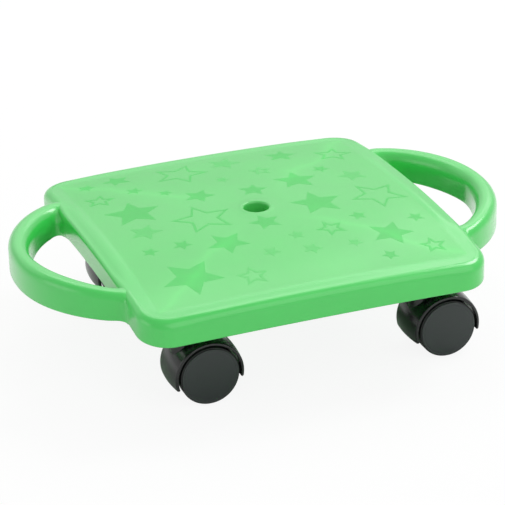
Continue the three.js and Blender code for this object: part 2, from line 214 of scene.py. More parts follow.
buildCamera()
buildStage()
bpy.context.scene.view_settings.view_transform = "Standard"
report("camera, floor and lamps are set")


# Finishes

# "coat" holds its weight and its roughness; sizes are in millimetres
finishes = {
    "deck_plastic": {
        # the streak amount below paints highlight along the field's diagonal creases, with random patches of
        # tone
        "colour": (0.04, 0.6, 0.085, 1), "roughness": 0.38, "roughSpread": 0.10, "coat": (1.0, 0.22),
        # the field's colour below is paler by painted sheen
        "fieldPaintedSheenColour": (0.078, 0.585, 0.115, 1), "fieldGloss": 0.6, "fieldRoughness": 0.08, "streakHighlightAndPatches": 0.12,
        "mottle": 0.05, "mottleSize": 26, "grain": 0.05, "grainSize": 0.9,
    },
    "star_print": {
        "colour": (0.037, 0.542, 0.078, 1), "roughness": 0.42, "roughSpread": 0.06, "coat": (0.2, 0.3),
        # the streak amount paints the same highlight and random patches where the stars lie on the field
        "streakHighlightAndPatches": 0.12, "mottle": 0.07, "mottleSize": 14, "grain": 0.06, "grainSize": 0.6,
    },
    "star_print_worn": {
        "colour": (0.056, 0.56, 0.096, 1), "roughness": 0.45, "roughSpread": 0.12, "coat": (0.34, 0.3),
        "streakHighlightAndPatches": 0.12, "mottle": 0.07, "mottleSize": 14, "grain": 0.06, "grainSize": 0.6,
    },
    "hood_plastic": {
        "colour": (0.008, 0.010, 0.009, 1), "roughness": 0.2, "roughSpread": 0.06,
        "mottle": 0.10, "mottleSize": 14, "grain": 0.03, "grainSize": 0.7,
    },
    "wheel_plastic": {
        "colour": (0.012, 0.014, 0.013, 1), "roughness": 0.5, "roughSpread": 0.12,
        "mottle": 0.14, "mottleSize": 6, "grain": 0.10, "grainSize": 0.5,
    },
    "cap_plastic": {
        "colour": (0.022, 0.030, 0.028, 1), "roughness": 0.33, "roughSpread": 0.08,
        "mottle": 0.06, "mottleSize": 12, "grain": 0.06, "grainSize": 0.45,
    },
    "steel": {
        "colour": (0.55, 0.56, 0.57, 1), "roughness": 0.3, "roughSpread": 0.14, "metallic": 1.0,
        "mottle": 0.10, "mottleSize": 3, "grain": 0.05, "grainSize": 0.3,
    },
}
noCoat = (0.0, 0.1)
skinNoise = {"mottle": (3.0, 0.55), "grain": (2.0, 0.6)}  # detail and roughness
boardTop = {
    "fieldEdge": (133.5, 137),      # from the middle, square
    "fieldHeight": (88, 92),        # only the top has the texture
    "streakWidth": 7,
    "streakFrom": (20, 60),
    "wander": 40,
    "wanderSize": 60,
    "wanderDetail": 2,
    "patchSize": 70,
    "patchDetail": 1,
}
grey = (0.5, 0.5, 0.5, 1)


def newGroup(name, inputs, outputs):
    group = bpy.data.node_groups.new(name, "ShaderNodeTree")
    for way, titles in (("INPUT", inputs), ("OUTPUT", outputs)):
        for title in titles:
            kind = "NodeSocketColor" if "Colour" in title else "NodeSocketFloat"
            socket = group.interface.new_socket(title, in_out=way, socket_type=kind)
            if way == "INPUT":
                socket.default_value = inputs[title]
    return group


def noiseNode(tree, place, scale, detail, rough=0.5):
    inputs = {"Vector": place, "Scale": scale, "Detail": detail, "Roughness": rough}
    return addNode(tree, "ShaderNodeTexNoise", inputs).outputs["Fac"]


def scaleColour(tree, colour, share):
    return addNode(tree, "ShaderNodeVectorMath", {0: colour, "Scale": share}, operation="SCALE").outputs[0]


def mouldedSkinGroup():
    # slow colour and gloss variation of a moulding, and the fine grain of its tool
    inputs = {"Colour": grey, "Roughness": 0.4, "Rough Spread": 0.1, "Mottle": 0.05, "Mottle Scale": 40.0,
              "Grain Scale": 1000.0}
    group = newGroup("mouldedSkin", inputs, ("Colour", "Roughness", "Height"))
    given = addNode(group, "NodeGroupInput").outputs
    place = addNode(group, "ShaderNodeTexCoord").outputs["Object"]
    slow = noiseNode(group, place, given["Mottle Scale"], *skinNoise["mottle"])
    fine = noiseNode(group, place, given["Grain Scale"], *skinNoise["grain"])
    around = mathNode(group, "SUBTRACT", slow, 0.5)
    shift = mathNode(group, "MULTIPLY", around, mathNode(group, "MULTIPLY", given["Mottle"], 2))
    tint = scaleColour(group, given["Colour"], mathNode(group, "ADD", shift, 1.0))
    gloss = mathNode(group, "MULTIPLY", around, given["Rough Spread"])
    gloss = mathNode(group, "ADD", gloss, given["Roughness"])
    addNode(group, "NodeGroupOutput", {"Colour": tint, "Roughness": gloss, "Height": fine})
    return group


def boardTopGroup():
    # the textured field's paler colour, which is painted sheen, and the faint streaks that run over it to the
    # corners, which are painted highlight along its diagonals with random patches
    t = boardTop
    group = newGroup("boardTop", {"Colour": grey, "Field Painted Sheen Colour": grey, "Streak Highlight And Patches": 0.1}, ("Colour", "Field"))
    given = addNode(group, "NodeGroupInput").outputs
    place = addNode(group, "ShaderNodeTexCoord").outputs["Object"]
    split = addNode(group, "ShaderNodeSeparateXYZ", {0: place}).outputs

    def maths(operation, first, second=0.0):
        return mathNode(group, operation, first, second)

    def within(value, limits):
        # 0 before the first limit and 1 after the second
        inputs = {"Value": value, "From Min": limits[0] * mm, "From Max": limits[1] * mm}
        ramp = addNode(group, "ShaderNodeMapRange", inputs, interpolation_type="SMOOTHSTEP")
        return ramp.outputs["Result"]

    def noise(size, detail):
        return maths("SUBTRACT", noiseNode(group, place, 1 / (size * mm), detail), 0.5)

    x, y = maths("ABSOLUTE", split["X"]), maths("ABSOLUTE", split["Y"])
    inField = maths("SUBTRACT", 1.0, within(maths("MAXIMUM", x, y), t["fieldEdge"]))
    inField = maths("MULTIPLY", inField, within(split["Z"], t["fieldHeight"]))
    # inside the field the colour turns paler: painted sheen
    # the mix node's colours have no names of their own
    inputs = {"Factor": inField, 6: given["Colour"], 7: given["Field Painted Sheen Colour"]}
    mixed = addNode(group, "ShaderNodeMix", inputs, data_type="RGBA").outputs[2]

    # the streaks: painted highlight along the diagonals where the creases would catch light, plus random
    # patches of tone
    wander = maths("MULTIPLY", noise(t["wanderSize"], t["wanderDetail"]), t["wander"] * mm)
    off = maths("DIVIDE", maths("ADD", maths("SUBTRACT", x, y), wander), t["streakWidth"] * mm)
    creaseHighlight = maths("DIVIDE", 1.0, maths("ADD", maths("MULTIPLY", off, off), 1.0))
    creaseHighlight = maths("MULTIPLY", creaseHighlight, within(maths("MAXIMUM", x, y), t["streakFrom"]))
    creaseHighlightAndPatches = maths("ADD", creaseHighlight, noise(t["patchSize"], t["patchDetail"]))
    shift = maths("ADD", maths("MULTIPLY", creaseHighlightAndPatches, maths("MULTIPLY", given["Streak Highlight And Patches"], inField)), 1.0)
    addNode(group, "NodeGroupOutput", {"Colour": scaleColour(group, mixed, shift), "Field": inField})
    return group


mouldedSkin = mouldedSkinGroup()
boardTopSkin = boardTopGroup()


def finish(slotName):
    settings = finishes[slotName]
    material = bpy.data.materials.new(slotName)
    tree = cleanTree(material)
    skin = addNode(tree, "ShaderNodeGroup", {
        "Colour": settings["colour"], "Roughness": settings["roughness"],
        "Rough Spread": settings["roughSpread"], "Mottle": settings["mottle"],
        "Mottle Scale": 1 / (settings["mottleSize"] * mm), "Grain Scale": 1 / (settings["grainSize"] * mm),
    }, node_tree=mouldedSkin)
    bump = addNode(tree, "ShaderNodeBump", {
        "Strength": settings["grain"], "Distance": settings["grainSize"] * mm,
        "Height": skin.outputs["Height"],
    })
    coat, coatRoughness = settings.get("coat", noCoat)
    shader = addNode(tree, "ShaderNodeBsdfPrincipled", {
        "Base Color": skin.outputs["Colour"], "Metallic": settings.get("metallic", 0.0),
        "Roughness": skin.outputs["Roughness"], "Coat Weight": coat, "Coat Roughness": coatRoughness,
        "Normal": bump.outputs["Normal"],
    })
    addNode(tree, "ShaderNodeOutputMaterial", {"Surface": shader.outputs["BSDF"]})
    # streaks: painted highlight along the field's diagonals, with random patches of tone
    if "streakHighlightAndPatches" in settings:
        # the field's paler colour, fed in here, is painted sheen
        top = addNode(tree, "ShaderNodeGroup", {
            "Colour": settings["colour"], "Field Painted Sheen Colour": settings.get("fieldPaintedSheenColour", settings["colour"]),
            "Streak Highlight And Patches": settings["streakHighlightAndPatches"],
        }, node_tree=boardTopSkin)
        tree.links.new(top.outputs["Colour"], skin.inputs["Colour"])
    if "fieldGloss" in settings:
        # the field has less of the coat, and is rougher
        field = top.outputs["Field"]
        less = mathNode(tree, "MULTIPLY", field, coat * (settings["fieldGloss"] - 1))
        rougher = mathNode(tree, "MULTIPLY", field, settings["fieldRoughness"])
        tree.links.new(mathNode(tree, "ADD", less, coat), shader.inputs["Coat Weight"])
        tree.links.new(mathNode(tree, "ADD", rougher, skin.outputs["Roughness"]), shader.inputs["Roughness"])
    return material


materials = {name: finish(name) for name in finishes}
report("finishes are mixed")


# Mesh helpers

def newPiece(name, bm, body, slotName, replaced=(), finishName=None):
    bmesh.ops.scale(bm, vec=(mm, mm, mm), verts=bm.verts)
    bmesh.ops.recalc_face_normals(bm, faces=bm.faces)
    mesh = bpy.data.meshes.new(name)
    bm.to_mesh(mesh)
    bm.free()
    mesh.materials.append(materials[finishName or slotName])
    mesh.shade_smooth()
    mesh.set_sharp_from_angle(angle=radians(sharpAngle))
    obj = bpy.data.objects.new(name, mesh)
    collection.objects.link(obj)
    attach(obj, body)
    if replaced:
        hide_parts(*replaced)


def ringBody(count, rings, closed=False):
    # a closed skin over rings; each ring gives the place of each of its count stations
    bm = bmesh.new()
    station = bm.verts.layers.int.new("station")
    for i, vert in enumerate(bmesh.ops.create_circle(bm, segments=count, radius=1)["verts"]):
        vert[station] = i
        vert.co = rings[0](i)
    edges = bm.edges[:]
    for ring in rings[1:]:
        grown = bmesh.ops.extrude_edge_only(bm, edges=edges)["geom"]
        edges = [g for g in grown if isinstance(g, bmesh.types.BMEdge)]
        for vert in grown:
            if isinstance(vert, bmesh.types.BMVert):
                vert.co = ring(vert[station])
    bmesh.ops.remove_doubles(bm, verts=bm.verts, dist=weld)
    if not closed:
        ends = [edge for edge in bm.edges if edge.is_boundary]
        bmesh.ops.holes_fill(bm, edges=ends, sides=0)
    return bm


def sectionBody(sections):
    return ringBody(len(sections[0]), [section.__getitem__ for section in sections])


def turnedBody(profile, segments, place=(0, 0, 0), axis=(0, 0, 1)):
    # a profile of (radius, height) points spun about Z, then laid along the given axis
    bm = bmesh.new()
    verts = [bm.verts.new((radius, 0, height)) for radius, height in profile]
    edges = [bm.edges.new(pair) for pair in zip(verts, verts[1:])]
    bmesh.ops.spin(
        bm, geom=verts + edges, cent=(0, 0, 0), axis=(0, 0, 1), dvec=(0, 0, 0),
        angle=2 * pi, steps=segments, use_merge=True, use_duplicate=False,
    )
    bmesh.ops.remove_doubles(bm, verts=bm.verts, dist=weld)
    lay = Vector((0, 0, 1)).rotation_difference(Vector(axis)).to_matrix()
    bmesh.ops.rotate(bm, cent=(0, 0, 0), matrix=lay, verts=bm.verts)
    bmesh.ops.translate(bm, vec=place, verts=bm.verts)
    return bm


def slabBody(outline, thickness):
    # a flat outline in the XZ plane, given its thickness along Y, half to each side
    bm = bmesh.new()
    face = bm.faces.new([bm.verts.new((x, -thickness / 2, z)) for x, z in outline])
    grown = bmesh.ops.extrude_face_region(bm, geom=[face])["geom"]
    far = [g for g in grown if isinstance(g, bmesh.types.BMVert)]
    bmesh.ops.translate(bm, vec=(0, thickness, 0), verts=far)
    return bm


def gather(parts):
    # several closed bodies in one mesh
    whole = bmesh.new()
    for part in parts:
        mesh = bpy.data.meshes.new("part")
        part.to_mesh(mesh)
        part.free()
        whole.from_mesh(mesh)
        bpy.data.meshes.remove(mesh)
    return whole


def moved(bm, vec=(0, 0, 0), turn=0.0, axis="Z", scale=(1, 1, 1)):
    bmesh.ops.scale(bm, vec=scale, verts=bm.verts)
    bmesh.ops.rotate(bm, cent=(0, 0, 0), matrix=Matrix.Rotation(turn, 3, axis), verts=bm.verts)
    bmesh.ops.translate(bm, vec=vec, verts=bm.verts)
    return bm


# Deck moulding

deckLow, deckHigh = boxOf("deck")
half = deckHigh.y  # the deck is square, and its front and back walls are its widest

deck = {
    "cornerRadius": 27,
    "leastRadius": 6,
    "wallHeight": 24.4,
    "topRise": (3.3, 9.3, 1.7),     # crown over the corners: across, along, centre
    "bottomRise": (1.8, 10.0, 0.0),
    "frontFall": 2.9,               # the top falls by this more to its front edge
    "frontFallPower": 4,
    "plate": 4,
    "wall": 4,
    "chamfer": 0.6,
    "plateRound": 2,                # inside, where the walls meet the plate
    "hemRound": 1.4,
    "fieldDepth": 0.9,
    "fieldPower": 8,                # the field only comes up to the rim close to its edge
    "rimRound": (5.6, 5.6),         # across and down
    "cornerRound": (7.5, 7),        # the same at the corners
    "sideRound": (3, 3.4),          # the same between a handle's roots
    "sideSlope": 1.9,               # the rim falls by this to its edge there
    # inset and lift from the field to the rim's crest, and the same between a handle's roots
    "rimShape": [
        ((20, -0.92), (18.5, -0.92)), ((17, -0.89), (16.6, -0.72)), ((14.8, -0.8), (14.8, -0.3)),
        ((12.8, -0.64), (13.2, -0.06)), ((11.2, -0.46), (11.4, -0.1)), ((9.8, -0.3), (9, -0.46)),
        ((8.5, -0.17), (6.6, -1.05)), ((7.2, -0.08), (4.6, -1.7)),
    ],
    "skirtBand": 11,
    "skirtStep": 1.2,
    "skirtRound": 0.8,
    "skirtFrom": 22,                # where the band's edge starts to fall towards the roots
    "skirtRun": 60,
    "skirtFall": 20.5,
    "skirtPower": 1.35,
    "skirtFade": (60, 68),
    "skirtClear": 1,                # the band's edge stays this far above the hem
    "sideFade": (58, 98),           # where the rim changes from its side shape to its front one
    "cornerFade": (84, 134),        # how near both walls the corner's wider rounding starts and is full
    "cornerSteps": 16,
    "sideSteps": 56,
    "fieldRings": 15,
    "holeRadius": 10.6,
    "holeLip": 2.4,
    "holeLipRise": 0.5,
    "holeSettle": 16.5,             # radius at which the lip has run out into the field
    "bossRadius": 16,
    "bossRound": 1.5,
    "ribPairs": 3,
    "ribThickness": 2.2,
    "ribDraft": 0.8,                # a rib is thicker by this at its root
    "ribInset": 1.5,
    "ribRound": 0.5,
    "ribRoundRise": 0.03,           # as a share of the rib's height
    "ribSteps": 40,
    "towerDrop": 10.6,
    "towerRadius": 12,
    "towerDraft": 0.8,
    "towerBevel": 0.8,
    "ringClear": 0.3,               # round the grip ring in its socket
    "stemClear": 2,                 # above the stem
    "socketSteps": 48,
    "gussetReach": 16,
    "gussetSetback": 1.5,
    "gussetFoot": 0.3,
    "gussetToe": 1,
    "gussetSunk": 2,                # into the ribs
}
base = deckLow.z + deck["towerDrop"]  # the wall's lowest corner


def crown(x, y, rises):
    across, along, centre = rises
    u = 1 - (x / half) ** 2
    v = 1 - (y / half) ** 2
    return across * u + along * v + centre * u * v


def topAt(x, y):
    fall = deck["frontFall"] * max(-y / half, 0) ** deck["frontFallPower"]
    return base + deck["wallHeight"] + crown(x, y, deck["topRise"]) - fall


def fieldAt(x, y):
    return topAt(x, y) - deck["fieldDepth"]


def bottomAt(x, y):
    return base + crown(x, y, deck["bottomRise"])


def squarePoint(station, inset):
    # one of the stations round a rounded square, inset from the wall
    quarter, step = divmod(station, deck["cornerSteps"] + deck["sideSteps"])
    radius = max(deck["cornerRadius"] - inset, deck["leastRadius"])
    reach = half - inset - radius
    if step <= deck["cornerSteps"]:
        turn = step / deck["cornerSteps"] * pi / 2
        point = Vector((reach + radius * cos(turn), reach + radius * sin(turn)))
    else:
        along = (step - deck["cornerSteps"]) / deck["sideSteps"]
        point = Vector((blend(reach, -reach, along), reach + radius))
    point.rotate(Matrix.Rotation(quarter * pi / 2, 2))
    return point


def squareRing(inset, height):
    def ring(station):
        point = squarePoint(station, inset)
        return Vector((point.x, point.y, height(point.x, point.y)))
    return ring


def roundRing(radius, height, share=0.0, inset=0.0):
    # a circle that turns into the rounded square as share goes from 0 to 1
    def ring(station):
        outer = squarePoint(station, inset)
        point = blend(outer.normalized() * radius, outer, share)
        return Vector((point.x, point.y, height(point.x, point.y)))
    return ring


def betweenRoots(x, y, fade):
    # 1 on the stretch of wall between a handle's roots, running out over the fade
    if abs(x) < half - 2 * deck["wall"]:
        return 0.0
    return 1 - smooth(abs(y), *deck[fade])


def rimRounding(x, y):
    # how far the rim's rounding goes across and down
    corner, side = smooth(min(abs(x), abs(y)), *deck["cornerFade"]), betweenRoots(x, y, "sideFade")
    kinds = zip(deck["rimRound"], deck["cornerRound"], deck["sideRound"])
    return [blend(blend(front, atCorner, corner), atSide, side) for front, atCorner, atSide in kinds]


def rimRing(turn, lines=None):
    # one ring of the rim: at an angle of its rounding, or at one of the lines inside it
    def ring(station):
        outer = squarePoint(station, 0)
        side = betweenRoots(outer.x, outer.y, "sideFade")
        if lines:
            inset, lift = (blend(a, b, side) for a, b in zip(*lines))
        else:
            across, down = rimRounding(outer.x, outer.y)
            inset, lift = across * (1 - cos(turn)), -down * (1 - sin(turn)) - deck["sideSlope"] * side
        point = squarePoint(station, inset)
        return Vector((point.x, point.y, topAt(point.x, point.y) + lift))
    return ring


def rimFoot(x, y):
    # where the rounding ends on the wall
    return topAt(x, y) - rimRounding(x, y)[1] - deck["sideSlope"] * betweenRoots(x, y, "sideFade")


def bandEdge(x, y):
    d = deck
    over = max(abs(y) - d["skirtFrom"], 0) / d["skirtRun"]
    edge = topAt(copysign(half, x), y) - d["skirtBand"] - d["skirtFall"] * over ** d["skirtPower"]
    hem = bottomAt(x, y) + d["hemRound"]
    middle = blend(rimFoot(x, y), hem, 0.5)
    return blend(middle, max(edge, hem + d["skirtClear"]), betweenRoots(x, y, "skirtFade"))


def wallRing(setback, height):
    # the setback only bites between the handle's roots
    def ring(station):
        point = squarePoint(station, 0)
        bite = setback * betweenRoots(point.x, point.y, "skirtFade")
        x = point.x - copysign(bite, point.x)
        return Vector((x, point.y, height(point.x, point.y)))
    return ring


def hemRing(inset, height):
    # below the step, with the hem's rounding turning in everywhere
    def ring(station):
        outer, point = squarePoint(station, 0), squarePoint(station, inset)
        bite = deck["skirtStep"] * betweenRoots(outer.x, outer.y, "skirtFade")
        x = point.x - copysign(bite, point.x)
        return Vector((x, point.y, height(outer.x, outer.y)))
    return ring


def level(z):
    return lambda x, y: z


def above(height, rise):
    return lambda x, y: height(x, y) + rise


def between(low, high, share):
    return lambda x, y: blend(low(x, y), high(x, y), share)


def deckShell():
    # once round the section: hole, lip, field, rim, wall, hem, then back inside to the boss
    d = deck
    hole, lip, boss, chamfer = d["holeRadius"], d["holeLip"], d["bossRadius"], d["chamfer"]
    crest = fieldAt(0, 0) + d["holeLipRise"]
    bossFloor = bottomAt(0, 0) + d["ribInset"]
    rings = [roundRing(hole, level(bossFloor + d["hemRound"]))]
    rings += [roundRing(hole, level(blend(bossFloor, crest - lip, s))) for s in (0.35, 0.7)]
    rings += [roundRing(radius, level(z)) for radius, z in rounded(hole, crest, lip, -lip, 7)]
    for s in (0.3, 0.6, 1.0):
        settled = between(level(crest), fieldAt, smooth(s, 0, 1))
        rings.append(roundRing(blend(hole + lip, d["holeSettle"], s), settled))
    inset, lift = d["rimShape"][0][0]
    for s in arc(d["fieldRings"])[1:-1]:
        height = above(topAt, blend(-d["fieldDepth"], lift, s ** d["fieldPower"]))
        rings.append(roundRing(d["holeSettle"], height, s, inset))
    rings += [rimRing(0, lines) for lines in d["rimShape"]]
    rings += [rimRing(turn) for turn in arc(10, pi / 2, 0)]

    step, drop, hem = d["skirtStep"], d["skirtRound"], d["hemRound"]
    rings += [wallRing(0, between(rimFoot, bandEdge, s)) for s in (0.45, 0.9)]
    rings += [wallRing(setback, above(bandEdge, rise)) for setback, rise in rounded(0, -drop, step, drop, 4)]
    upper, lower = above(bandEdge, -drop), above(bottomAt, hem)
    rings += [wallRing(step, between(upper, lower, s)) for s in (0.4, 0.75, 1.0)]
    rings += [hemRing(inset, above(bottomAt, rise)) for inset, rise in rounded(0, 0, hem, hem, 4)[1:]]

    inner, roof, turnIn = d["wall"] + step, above(fieldAt, -d["plate"]), d["plateRound"]
    rings += [squareRing(inner - chamfer, bottomAt), squareRing(inner, above(bottomAt, chamfer)),
              squareRing(inner, between(bottomAt, roof, 0.6))]
    rings += [squareRing(inset, above(roof, rise)) for inset, rise in rounded(inner, 0, turnIn, -turnIn, 3)]
    rings += [roundRing(boss + turnIn, roof, s, inner + turnIn) for s in (0.8, 0.6, 0.4, 0.2)]
    rings += [roundRing(boss + d["bossRound"], roof), roundRing(boss, above(roof, -d["bossRound"])),
              roundRing(boss, level(bossFloor + chamfer)), roundRing(boss - chamfer, level(bossFloor)),
              roundRing(hole + chamfer, level(bossFloor)), rings[0]]
    return ringBody(4 * (d["cornerSteps"] + d["sideSteps"]), rings, closed=True)


def deckRib(place, alongX):
    # one rib across the deck, drafted, and rounded along its free edge
    d = deck
    reach = half - d["wall"]
    thin, thick = d["ribThickness"] / 2, (d["ribThickness"] + d["ribDraft"]) / 2
    section = [(-thick, 1.0), (-thin, d["ribRoundRise"]), (-thin + d["ribRound"], 0.0),
               (thin - d["ribRound"], 0.0), (thin, d["ribRoundRise"]), (thick, 1.0)]

    def point(s, off, share):
        x, y = (s, place) if alongX else (place, s)
        z = blend(bottomAt(x, y) + d["ribInset"], fieldAt(x, y) - d["plate"] / 2, share)
        return Vector((x, y + off, z)) if alongX else Vector((x + off, y, z))

    return sectionBody([[point(s, *at) for at in section] for s in arc(d["ribSteps"], -reach, reach)])


def stemSocket(corner, x, y):
    # a tower round the stem, with four gussets up to the ribs
    d = deck
    radius, bevel, chamfer = d["towerRadius"], d["towerBevel"], d["chamfer"]
    bore = sizeOf(corner + "_grip_ring").x / 2 + d["ringClear"]
    mouth, roof = base - d["towerDrop"], fieldAt(x, y) - d["plate"] / 2
    blind = boxOf(corner + "_stem")[1].z + d["stemClear"]
    profile = [
        (0, roof), (radius + d["towerDraft"], roof), (radius, mouth + bevel), (radius - bevel, mouth),
        (bore + chamfer, mouth), (bore, mouth + chamfer), (bore, blind), (0, blind),
    ]
    parts = [turnedBody(profile, d["socketSteps"], (x, y, 0))]
    rise, foot = bottomAt(x, y) + d["ribInset"] + d["gussetSunk"], mouth + d["gussetSetback"]
    start, reach = radius / 2, d["gussetReach"] + radius / 2
    outline = [(start, foot), (radius + d["gussetFoot"], foot), (reach, rise - d["gussetToe"]),
               (reach, rise), (start, rise)]
    for quarter in range(4):
        parts.append(moved(slabBody(outline, d["ribThickness"]), (x, y, 0), quarter * pi / 2))
    return gather(parts)


handle = {
    "half": 101.4,          # outer face, along Y at the wall
    "gripReach": 46.4,      # inner face
    "gripHalf": 79.8,
    "rootFillet": 11,       # in plan, below the rounded top
    "outerFillet": 7,       # the same on the outer side
    "reachPower": 1.53,
    "halfPower": 0.92,
    "gripReachPower": 1.38,
    "gripHalfPower": 1.17,
    "height": 27.8,
    "lift": 5.2,
    # lower by this at the front and the rear root
    "rootDrop": (3.2, 2.2),
    "rootDropPower": 5,
    "crownShare": 0.56,     # where the rounded top is highest, as a share of the width
    "innerCrown": 16.5,     # how far down the top's rounding reaches, at the grip's side
    "outerCrown": 9,
    "crownPower": 2.25,     # 2 is an ellipse, more is squarer
    "crownSteps": 11,       # on each side of the highest place
    "flareTop": (14, 5.5),   # the root's fillet fades out between these depths
    "hem": 1.5,
    "wall": 3,
    "wallBevel": (0.4, 0.6),
    "roof": 5,
    "fillet": 2.5,
    "bays": 7,
    "ribShare": 0.14,
    "ribSunk": 0.8,         # how far the cross ribs go up into the roof
    "ribFoot": 1,
    "ribShoulder": 1.1,
    "bayTurn": 68,          # degrees of the plan curve, each way
    "steps": 72,
    "rootSteps": 14,
    "sink": 11,             # how far the ends go into the deck's wall
    "sinkSteps": 5,
    "settle": 6,            # and how far their tops come down on the way
    "settlePower": 3,
}
handleReach = deckHigh.x - half


def planPoint(turn, reach, halfSpan, reachPower, halfPower):
    x = reach * max(cos(turn), 0) ** reachPower
    y = halfSpan * copysign(abs(sin(turn)) ** halfPower, turn)
    return Vector((half + x, y))


def outerFace(turn):
    return planPoint(turn, handleReach, handle["half"], handle["reachPower"], handle["halfPower"])


def innerFace(turn):
    h = handle
    return planPoint(turn, h["gripReach"], h["gripHalf"], h["gripReachPower"], h["gripHalfPower"])


def rootTurn(reach):
    # the plan curve's turn where the inner face is this far from the wall
    return acos((reach / handle["gripReach"]) ** (1 / handle["gripReachPower"]))


def filletRise(radius, out):
    # how far a root's fillet spreads along the wall, at a distance out from it
    near = min(max(radius - out, 0), radius)
    return radius - sqrt(radius ** 2 - near ** 2)


def handleSection(turn, profile, sink=0.0, settle=0.0):
    h = handle
    inner, outer = innerFace(turn), outerFace(turn)
    width = (outer - inner).length
    across = (outer - inner) / width
    drop = h["rootDrop"][turn > 0] * abs(sin(turn)) ** h["rootDropPower"]
    fadeFrom, fadeTo = (h["height"] - depth for depth in h["flareTop"])
    floor = base + h["lift"]
    nearWall = max(h["rootFillet"] - (inner.x - half), 0) / h["rootFillet"]
    flare = filletRise(h["rootFillet"], inner.x - half)
    outerFlare = filletRise(h["outerFillet"], outer.x - half)
    points = []
    for d, z in profile(width):
        lowered = z - (drop + settle) * smooth(z, 0, h["height"])
        share = (1 - smooth(d, h["wall"], width / 2)) * (1 - smooth(z, fadeFrom, fadeTo))
        outerShare = smooth(d, width / 2, width - h["wall"]) * (1 - smooth(z, fadeFrom, h["height"]))
        y = inner.y + across.y * d + (outerFlare * outerShare - flare * share) * copysign(1, turn)
        hemRise = max(bottomAt(half, y) - floor, 0) * nearWall * (1 - smooth(z, 0, fadeFrom))
        points.append(Vector((inner.x - sink + across.x * d, y, floor + lowered + hemRise)))
    return points


def handleProfile(width):
    # the section is an upturned trough: outside from the inner hem over the top, then back inside
    h = handle
    tall, hem, power = h["height"], h["hem"], 2 / h["crownPower"]
    highest, inner, outer = width * h["crownShare"], h["innerCrown"], h["outerCrown"]
    turns = arc(h["crownSteps"], 0, pi / 2)
    outside = rounded(0, 0, hem, hem, 3)[::-1]
    outside += [(0, blend(hem, tall - inner, s)) for s in (0.35, 0.7)]
    outside += [(highest * (1 - cos(t) ** power), tall - inner * (1 - sin(t) ** power)) for t in turns]
    outside += [(highest + (width - highest) * sin(t) ** power, tall - outer * (1 - cos(t) ** power))
                for t in turns[1:]]
    outside += [(width, blend(tall - outer, hem, s)) for s in (0.3, 0.65)]
    outside += rounded(width, 0, -hem, hem, 3)
    wall, roof, fillet = h["wall"], tall - h["roof"], h["fillet"]
    across, up = h["wallBevel"]
    inside = [(width - wall + across, 0), (width - wall, up)]
    inside += rounded(width - wall, roof, -fillet, -fillet, 4) + rounded(wall, roof, fillet, -fillet, 4)[::-1]
    return outside + inside + [(wall, up), (wall - across, 0)]


def handleRibProfile(width):
    h = handle
    sunk, corner = h["wall"] / 2, h["wall"] + h["fillet"]
    top = h["height"] - h["roof"] + h["ribSunk"]
    foot, shoulder = h["ribFoot"], top - h["fillet"] - h["ribShoulder"]
    return [(sunk, foot), (width - sunk, foot), (width - sunk, shoulder), (width - corner, top),
            (corner, top), (sunk, shoulder)]


def sideHandle(side):
    h = handle
    last = rootTurn(h["rootFillet"])
    root = [rootTurn(reach) for reach in arc(h["rootSteps"], 0, h["rootFillet"])]
    turns = [-turn for turn in root] + arc(h["steps"], -last, last)[1:-1] + root[::-1]
    sections = [handleSection(turn, handleProfile) for turn in turns]
    for s in arc(h["sinkSteps"])[1:]:
        sink, settle = h["sink"] * s, h["settle"] * s ** h["settlePower"]
        sections.insert(0, handleSection(turns[0], handleProfile, sink, settle))
        sections.append(handleSection(turns[-1], handleProfile, sink, settle))
    parts = [sectionBody(sections)]
    first = -radians(h["bayTurn"])
    bay = -2 * first / h["bays"]
    spread = bay * h["ribShare"] / 2
    for k in range(1, h["bays"]):
        turns = arc(1, first + bay * k - spread, first + bay * k + spread)
        parts.append(sectionBody([handleSection(turn, handleRibProfile) for turn in turns]))
    for sign in (-1, 1):
        turns = arc(6, sign * radians(h["bayTurn"]), sign * pi / 2)
        parts.append(sectionBody([handleSection(turn, handleRibProfile) for turn in turns]))
    return moved(gather(parts), scale=(side, 1, 1))


def buildDeck():
    parts = [deckShell()]
    corner = middleOf("rear_right_stem")
    for k in range(1, deck["ribPairs"] + 1):
        share = (2 * k - 1) / (2 * deck["ribPairs"] - 1)
        for side in (-share, share):
            parts += [deckRib(side * corner.y, True), deckRib(side * corner.x, False)]
    parts += [stemSocket(name, sx * corner.x, sy * corner.y) for name, (sx, sy) in cornerSides.items()]
    parts += [sideHandle(side) for side in (-1, 1)]
    newPiece("deck_moulding", gather(parts), "deck", "deck_plastic", ["deck"])


buildDeck()
report("deck moulding is made")


# Stars printed on the field

